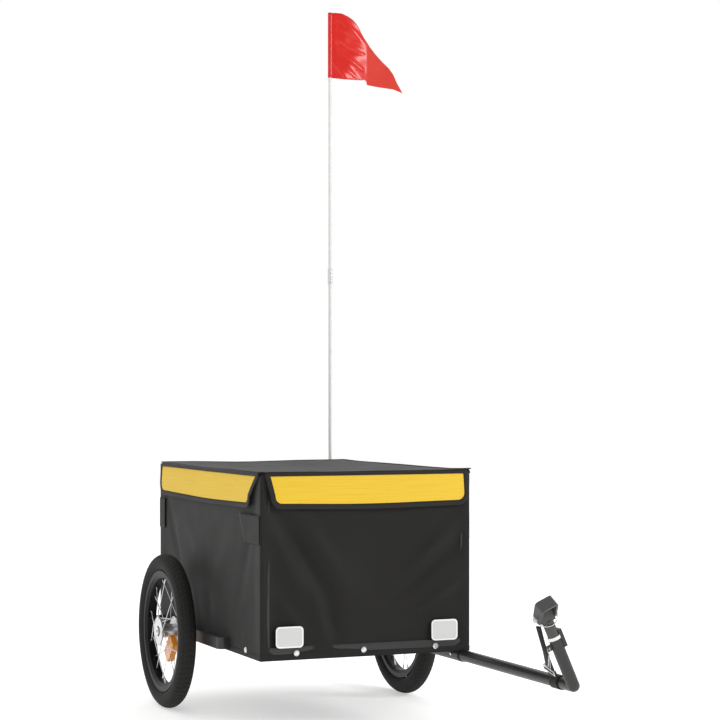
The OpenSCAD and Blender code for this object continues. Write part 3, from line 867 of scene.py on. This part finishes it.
# How far a flap bellies out, ripples, droops in its middle and stands off the wall
BELLY, RIPPLE, DROOP, STAND_OFF = 3.2 * MM, 1.1 * MM, 3.5 * MM, 1.4 * MM


class Flap:
    """One hanging flap: its place on the box and its cut."""

    def __init__(self, name, body, across, outward, edge, spans, drop, outer):
        self.name, self.body, self.across, self.outward = name, body, across, outward
        self.edge, self.spans, self.drop, self.outer = edge, spans, drop, outer

    def ends(self, fall, inset=0.0):
        """First and last position along the flap at a distance below the fold."""
        top0, top1, low0, low1 = self.spans
        r = self.outer
        t = fall / self.drop
        first, last = top0 + (low0 - top0) * t + inset, top1 + (low1 - top1) * t - inset
        lower = self.drop - inset
        into = fall - (lower - r)
        if into > 0:
            cut = r - math.sqrt(max(0.0, r * r - min(into, r) ** 2))
            first, last = first + cut, last - cut
        return first, last

    def point(self, along, fall):
        """A point of the flap's outer face."""
        share = fall / self.drop
        mid = (along - (self.spans[0] + self.spans[1]) / 2) / (self.spans[1] - self.spans[0])
        belly = BELLY * math.sin(math.pi * min(1, share * 0.9 + 0.05)) * (1 - (2 * mid) ** 4 * 0.6)
        ripple = RIPPLE * math.sin(along * 21 + self.edge * 9) * share
        droop = DROOP * math.cos(math.pi * 2 * mid) * share
        lift = STAND_OFF * rounded(share * 6)
        base = self.across * along + self.outward * self.edge
        out = max(0.3 * MM, belly + ripple + lift)
        return Vector((base.x, base.y, FOLD_Z - fall - droop * 0.6)) + self.outward * out


FOLD_Z = TUB_HIGH.z + 0.5 * MM
# Height of the dark band above the yellow cloth, and the fold strip's whole width
TOP_BAND = 6.5 * MM
FOLD_RUN = 15 * MM
FLAP_CORNER_R = 30 * MM
# The yellow cloth starts below the fold and ends inside the binding
CLOTH_TOP = 3 * MM
CLOTH_INSET = 3 * MM
BINDING_THICK = 2.6 * MM
# For each flap: body, direction along it, outward, and the millimetres by which its upper start,
# upper end, lower start and lower end are moved along it from the ends of its node
LEFTWARD, REARWARD = Vector((1, 0, 0)), Vector((0, 1, 0))
FLAPS = {
    "front_flap": ("front_flap", LEFTWARD, -REARWARD, (0, -6, 22, -1)),
    "left_flap": ("left_flap", REARWARD, LEFTWARD, (-36, -18, 54, -3)),
    "right_flap": ("right_flap", REARWARD, -LEFTWARD, (-36, -18, 54, -3)),
    "rear_flap": ("chassis", LEFTWARD, REARWARD, (0, 0, 24, -24)),
}


def build_flap(flap):
    """Yellow cloth, its binding, the fold that joins it to the cover, and the stitches."""
    rows, cuts = [], []
    falls = [CLOTH_TOP] + [flap.drop * k / 16 for k in range(1, 13)]
    falls += [flap.drop * (0.75 + 0.25 * (1 - (1 - k / 9) ** 1.6)) for k in range(1, 10)]
    for fall in falls:
        deep = min(fall, flap.drop - CLOTH_INSET)
        first, last = flap.ends(deep, CLOTH_INSET)
        row, cut = [], []
        for k in range(65):
            along = first + (last - first) * k / 64
            row.append(flap.point(along, deep) - flap.outward * 0.9 * MM)
            cut.append((along, deep))
        rows.append(row)
        cuts.append(cut)
    cloth = sheet_of_points(f"{flap.name}_cloth", rows, cuts)
    thicken(cloth, 1.0 * MM, 0.0)
    place_piece(cloth, flap.body, "panel", "yellow_cloth", flap.name)
    path = binding_path(flap, sizes().binding / 2)
    spots = [flap.point(a, f) - flap.outward * 0.6 * MM for a, f in path]
    trim = sweep(f"{flap.name}_binding", spots, [flap.outward] * len(spots),
                 band_profile(sizes().binding, BINDING_THICK))
    place_piece(trim, flap.body, "binding", "black_cloth")
    inner = binding_path(flap, sizes().binding - 2 * MM, 0.7 * MM)
    beads = [flap.point(a, f) + flap.outward * 0.75 * MM for a, f in inner]
    stitches = stitch_line(f"{flap.name}_stitches", beads, [flap.outward] * len(beads))
    place_piece(stitches, flap.body, "binding", "black_cloth")
    fold = fold_strip(flap)


def binding_path(flap, inset, step=3 * MM):
    """Positions (along, fall) of a line that keeps its distance from the flap's free edges."""
    r = flap.outer - inset
    top0, top1, low0, low1 = flap.spans
    bottom = flap.drop - inset

    def side(fall, end):
        t = fall / flap.drop
        return (top0 + (low0 - top0) * t + inset) if end == 0 else (top1 + (low1 - top1) * t - inset)

    straight = bottom - r
    drops = np.linspace(1.5 * MM, straight, max(2, int(straight / step)))
    turns = np.linspace(0, math.pi / 2, 14)
    path = [(side(f, 0), f) for f in drops]
    start, finish = side(straight, 0), side(straight, 1)
    path += [(start + r - r * math.cos(a), straight + r * math.sin(a)) for a in turns[1:]]
    count = int((finish - r - start - r) / step)
    path += [(start + r + (finish - start - 2 * r) * k / count, bottom) for k in range(1, count)]
    path += [(finish - r + r * math.sin(a), straight + r * math.cos(a)) for a in turns]
    return path + [(side(f, 1), f) for f in drops[-2::-1]]


def fold_strip(flap):
    """Dark cloth that runs from the cover's rim over the edge and down to the yellow cloth."""
    top0, top1 = flap.spans[0] + 1 * MM, flap.spans[1] - 1 * MM
    rows, cuts = [], []
    for k in range(15):
        t = k / 14
        row, cut = [], []
        for m in range(81):
            along = top0 + (top1 - top0) * m / 80
            hang = flap.point(along, TOP_BAND) + flap.outward * 0.5 * MM
            base = flap.across * along + flap.outward * (flap.edge - 6 * MM)
            start = Vector((base.x, base.y, cover_height(base.x, base.y) + 0.4 * MM))
            knee = flap.across * along + flap.outward * (flap.edge + 2.4 * MM)
            knee = Vector((knee.x, knee.y, FOLD_Z + 1.8 * MM))
            row.append((1 - t) ** 2 * start + 2 * t * (1 - t) * knee + t * t * hang)
            cut.append((along, t * FOLD_RUN))
        rows.append(row)
        cuts.append(cut)
    made = sheet_of_points(f"{flap.name}_fold", rows, cuts)
    thicken(made, 1.1 * MM, 1.0)
    give_finish(made, "binding")
    start = flap.outward * (flap.edge - 2 * MM) + Vector((0, 0, FOLD_Z + 1 * MM))
    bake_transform(made)
    return made


def flap_of(name):
    """One of the four flaps, with its ends along its wall taken from the frame."""
    body, across, outward, trim = FLAPS[name]
    low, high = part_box(name)
    ends = sorted((low.dot(across), high.dot(across)))
    wall = TUB_HIGH if sum(outward) > 0 else TUB_LOW
    edge = wall.dot(outward) + 1.6 * MM
    spans = [ends[k % 2] + trim[k] * MM for k in range(4)]
    return Flap(name, body, across, outward, edge, spans, high.z - low.z + 2 * MM, FLAP_CORNER_R)


class FlapsOperator(bpy.types.Operator):
    """Four hanging flaps in yellow cloth with dark binding"""

    bl_idname = "trailer.flaps"
    bl_label = "Flaps"

    def execute(self, context):
        for name in FLAPS:
            build_flap(flap_of(name))
        return {"FINISHED"}


# ---- tyres ----

# Blocks round the tread, steps round the tyre and points across it
TREAD_PITCHES = 78
TYRE_STEPS = 624
TYRE_ACROSS = 72
# Half angles of the tread and of the whole tyre about the middle of its section
TREAD_HALF = math.radians(58)
TYRE_HALF = math.radians(142)


def tread_height(turn, across):
    """Height of the tread blocks, 0 to 1, at an angle round the tyre and a share across the tread."""
    shear = abs(across) * 0.55
    blocks = abs(((turn / math.tau * TREAD_PITCHES + shear) % 1.0) - 0.5) * 2
    rows = abs(((across * 2.5 + 0.5) % 1.0) - 0.5) * 2
    return rounded((0.84 - blocks) / 0.1) * rounded((0.86 - rows) / 0.1)


def build_tyre(side):
    """A tyre with block tread, a ribbed sidewall and a bead line."""
    low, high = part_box(f"{side}_tyre")
    centre = node_centre(f"{side}_hub")
    half_w = (high.x - low.x) / 2
    core = (high.z - low.z) / 2 - half_w
    rows, cuts = [], []
    profile = [TYRE_HALF * (2 * k / TYRE_ACROSS - 1) for k in range(TYRE_ACROSS + 1)]
    for s in range(TYRE_STEPS):
        turn = math.tau * s / TYRE_STEPS
        row, cut = [], []
        for angle in profile:
            across = angle / TREAD_HALF
            r = half_w
            if abs(across) < 1:
                r -= sizes().tread * (1 - tread_height(turn, across))
            else:
                ring = math.cos((abs(angle) - TREAD_HALF) * 34)
                r -= sizes().tread * 0.55 - 0.22 * MM * rounded(ring * 3)
            far = core + r * math.cos(angle)
            row.append(Vector((centre.x + r * math.sin(angle), centre.y + far * math.sin(turn),
                               centre.z + far * math.cos(turn))))
            cut.append((turn, angle))
        rows.append(row)
        cuts.append(cut)
    rows.append(rows[0])
    cuts.append(cuts[0])
    tyre = sheet_of_points(f"{side}_tyre_rubber", rows, cuts)
    mesh = bmesh.new()
    mesh.from_mesh(tyre.data)
    bmesh.ops.remove_doubles(mesh, verts=mesh.verts, dist=1e-6)
    bmesh.ops.recalc_face_normals(mesh, faces=mesh.faces)
    mesh.to_mesh(tyre.data)
    mesh.free()
    thicken(tyre, 2.6 * MM, -1.0)
    place_piece(tyre, f"{side}_wheel", "rubber", "tyre_rubber", f"{side}_tyre")


# ---- strap ----

STRAP_WIDTH = 36 * MM
# Share of its width that the strap loses where it is drawn together at the hitch pin
STRAP_GATHER = 0.68
# The loop round the drawbar, in degrees: where it starts and how far it turns
LOOP_START, LOOP_TURN = 128, 350


class StrapOperator(bpy.types.Operator):
    """Woven safety strap looped round the drawbar"""

    bl_idname = "trailer.strap"
    bl_label = "Safety strap"

    def execute(self, context):
        low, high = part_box("safety_strap")
        bar = node_centre("drawbar_sleeve")
        loop_y = high.y - STRAP_WIDTH / 2
        radius = (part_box("drawbar_sleeve")[1].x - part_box("drawbar_sleeve")[0].x) / 2 - 0.9 * MM
        rows, cuts, line = [], [], []
        run = 0.0
        for k in range(33):
            turn = math.radians(LOOP_START - LOOP_TURN * k / 32)
            spot = Vector((bar.x + radius * math.cos(turn), loop_y, bar.z + radius * math.sin(turn)))
            line.append((spot, STRAP_WIDTH, 0.0))
        foot = Vector((bar.x - 15 * MM, loop_y, bar.z + 14.5 * MM))
        head = Vector((low.x + 2.5 * MM, low.y + 6 * MM, high.z - 1 * MM))
        for k in range(1, 29):
            t = k / 28
            spot = foot.lerp(head, t) + Vector((-1, 0.4, 0)) * 2 * MM * math.sin(math.pi * t)
            line.append((spot, STRAP_WIDTH * (1 - STRAP_GATHER * rounded(t * 1.15)), t))
        for i, (spot, width, t) in enumerate(line):
            if i:
                run += (spot - line[i - 1][0]).length
            row, cut = [], []
            for c in range(9):
                share = c / 8 - 0.5
                cup = Vector((1, 0, 0)) * 9 * MM * rounded(t) * (share * 2) ** 2
                row.append(spot + Vector((0, width * share, 0)) + cup)
                cut.append((share * STRAP_WIDTH, run))
            rows.append(row)
            cuts.append(cut)
        strap = sheet_of_points("safety_webbing", rows, cuts)
        thicken(strap, 1.8 * MM, 0.0)
        give_finish(strap, "webbing")
        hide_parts("safety_strap")
        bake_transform(strap)
        return {"FINISHED"}


# ---- flag ----

# Outline of the flag from the pole to its tip, in millimetres along and down from the top of the hoist
FLAG_TOP = [(0, 0), (15, 1), (33, 0), (52, -8), (66, -16), (78, -27), (88, -40), (95, -52), (108, -70),
            (123, -88), (141, -104), (166, -124), (191, -143), (206, -161), (217, -183), (236, -211)]
FLAG_FOOT = [(0, -185), (40, -188), (60, -188), (91, -187), (110, -185), (113, -199), (160, -201),
             (205, -203), (236, -211.5)]
FLAG_TIP = 236
SLEEVE_RUN = 184.5
SLEEVE_R = 6


def outline_at(points, x):
    """Height of an outline at a distance along, by straight runs between its points."""
    for (x0, z0), (x1, z1) in zip(points, points[1:]):
        if x <= x1:
            return z0 + (z1 - z0) * (x - x0) / (x1 - x0)
    return points[-1][1]


# Folds in the half near the pole, as (x0, z0, x1, z1, half width, height) in millimetres
FLAG_FOLDS = [(12, -45, 98, -92, 9, 3.4), (40, -26, 100, -74, 7, -2.6), (12, -78, 60, -104, 5, 3.2),
              (52, -104, 108, -113, 5, 3.0), (34, -116, 108, -160, 5, 3.4), (14, -134, 88, -186, 6, 3.2),
              (18, -150, 52, -190, 5, -2.6), (14, -20, 44, -40, 6, 2.6)]
FLAG_CREASE = 112


def flag_sway(x, z):
    """Sideways place of the cloth: pulled folds near the pole, a crease, and a half that turns away."""
    soft = noise.noise(Vector((x * 0.02, z * 0.016, 3.3))) * 5
    if x < FLAG_CREASE:
        folds = crease_field(FLAG_FOLDS, x, z) * min(1, (FLAG_CREASE - x) / 12)
        return -8 * math.sin(math.pi * x / FLAG_CREASE * 0.9) + (soft + folds) * min(1, x / 25)
    past = (x - FLAG_CREASE) / (FLAG_TIP - FLAG_CREASE)
    return -2.5 + 30 * past + 4 * math.sin(past * 4.2) + soft * (1 - past)


class FlagOperator(bpy.types.Operator):
    """Flag with its sleeve, crumpled near the pole and folded across the middle"""

    bl_idname = "trailer.flag"
    bl_label = "Flag"

    def execute(self, context):
        pole = node_centre("upper_pole")
        hoist = Vector((pole.x, pole.y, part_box("upper_pole")[1].z - 1 * MM))
        rows, cuts = [], []
        for k in range(73):
            x = FLAG_TIP * (k / 72) ** 0.97
            high, foot = outline_at(FLAG_TOP, x), outline_at(FLAG_FOOT, x)
            row, cut = [], []
            for c in range(41):
                z = high + (foot - high) * c / 40
                y = flag_sway(x, z)
                row.append(hoist + Vector((max(x, 5.4), y * min(1, x / 12), z)) * MM)
                cut.append((x * MM, z * MM))
            rows.append(row)
            cuts.append(cut)
        flag = sheet_of_points("flag_cloth", rows, cuts)
        thicken(flag, 0.7 * MM, 0.0)
        place_piece(flag, "flag", "flag", "flag_film", "flag")
        sleeve_rows, sleeve_cuts = [], []
        turns = [math.tau * c / 28 for c in range(28)]
        for k in range(25):
            z = -SLEEVE_RUN * k / 24
            r = SLEEVE_R + 0.35 * noise.noise(Vector((0, 0, z * 0.08)))
            sleeve_rows.append([hoist + Vector((
                (r + 0.5 * math.cos(a)) * math.cos(a), r * math.sin(a), z)) * MM for a in turns])
            sleeve_cuts.append([(a * SLEEVE_R * MM, z * MM) for a in turns])
        sleeve = sheet_of_points("flag_sleeve", sleeve_rows, sleeve_cuts, closed=True)
        thicken(sleeve, 0.6 * MM, -1.0)
        place_piece(sleeve, "flag", "flag", "flag_film")
        return {"FINISHED"}


# ---- finishes of the carried-over parts ----

FRAME_FINISHES = {
    "steel": ["base_side_rails", "base_cross_rails", "corner_posts", "top_rails", "axle_brackets",
              "axle_receivers", "drawbar_sleeve", "drawbar", "swivel_guard", "hitch_lug"],
    "plastic": ["corner_connectors", "pole_holder"],
    "floor": ["floor_board"],
    "zinc": ["panel_screws", "strap_buckle", "pole_ferrule", "hitch_pin", "pin_bail", "spare_clip",
             "drawbar_pin", "pull_ring"],
    "fork": ["fork", "coupler"],
    "nylon": ["swivel_ring"],
    "pole": ["lower_pole", "upper_pole"],
    "clear": ["front_reflectors"],
    "red": ["rear_reflectors"],
}
WHEEL_FINISHES = {
    "rubber": ["tyre"], "tube": ["inner_tube", "valve"], "rim": ["rim"],
    "zinc": ["spokes", "nipples", "axle"], "hub": ["hub", "button"], "bearing": ["bearings"],
    "amber": ["spoke_reflector"],
}


class HardwareOperator(bpy.types.Operator):
    """Finishes of the frame, drawbar, hitch and pole parts"""

    bl_idname = "trailer.hardware"
    bl_label = "Frame and hitch finishes"

    def execute(self, context):
        for finish, names in FRAME_FINISHES.items():
            for name in names:
                finish_node(name, finish)
        return {"FINISHED"}


class WheelsOperator(bpy.types.Operator):
    """Finishes and tyres of both wheels"""

    bl_idname = "trailer.wheels"
    bl_label = "Wheels"

    def execute(self, context):
        for side in ("left", "right"):
            for finish, names in WHEEL_FINISHES.items():
                for name in names:
                    finish_node(f"{side}_{name}", finish)
            build_tyre(side)
        return {"FINISHED"}


OPERATORS = [StageOperator, HardwareOperator, WheelsOperator, BoxOperator, CoverOperator, FlapsOperator,
             StrapOperator, FlagOperator]


class TrailerPanel(bpy.types.Panel):
    """Lists the steps that build the trailer"""

    bl_idname = "TRAILER_PT_build"
    bl_label = "Cargo Trailer"
    bl_space_type = "VIEW_3D"
    bl_region_type = "UI"
    bl_category = "Trailer"

    def draw(self, context):
        for group in (sizes(), colours()):
            for key in group.bl_rna.properties.keys():
                if key not in ("rna_type", "name"):
                    self.layout.prop(group, key)
        for made in OPERATORS:
            self.layout.operator(made.bl_idname)


CLASSES = [TrailerSizes, TrailerColours, *OPERATORS, TrailerPanel]


def register():
    for made in CLASSES:
        bpy.utils.register_class(made)
    bpy.types.Scene.trailer_sizes = bpy.props.PointerProperty(type=TrailerSizes)
    bpy.types.Scene.trailer_colours = bpy.props.PointerProperty(type=TrailerColours)


def unregister():
    del bpy.types.Scene.trailer_sizes
    del bpy.types.Scene.trailer_colours
    for made in reversed(CLASSES):
        bpy.utils.unregister_class(made)


def main():
    """Builds every piece in order."""
    register()
    for made in OPERATORS:
        group, action = made.bl_idname.split(".")
        getattr(getattr(bpy.ops, group), action)()


if __name__ == "__main__":
    main()
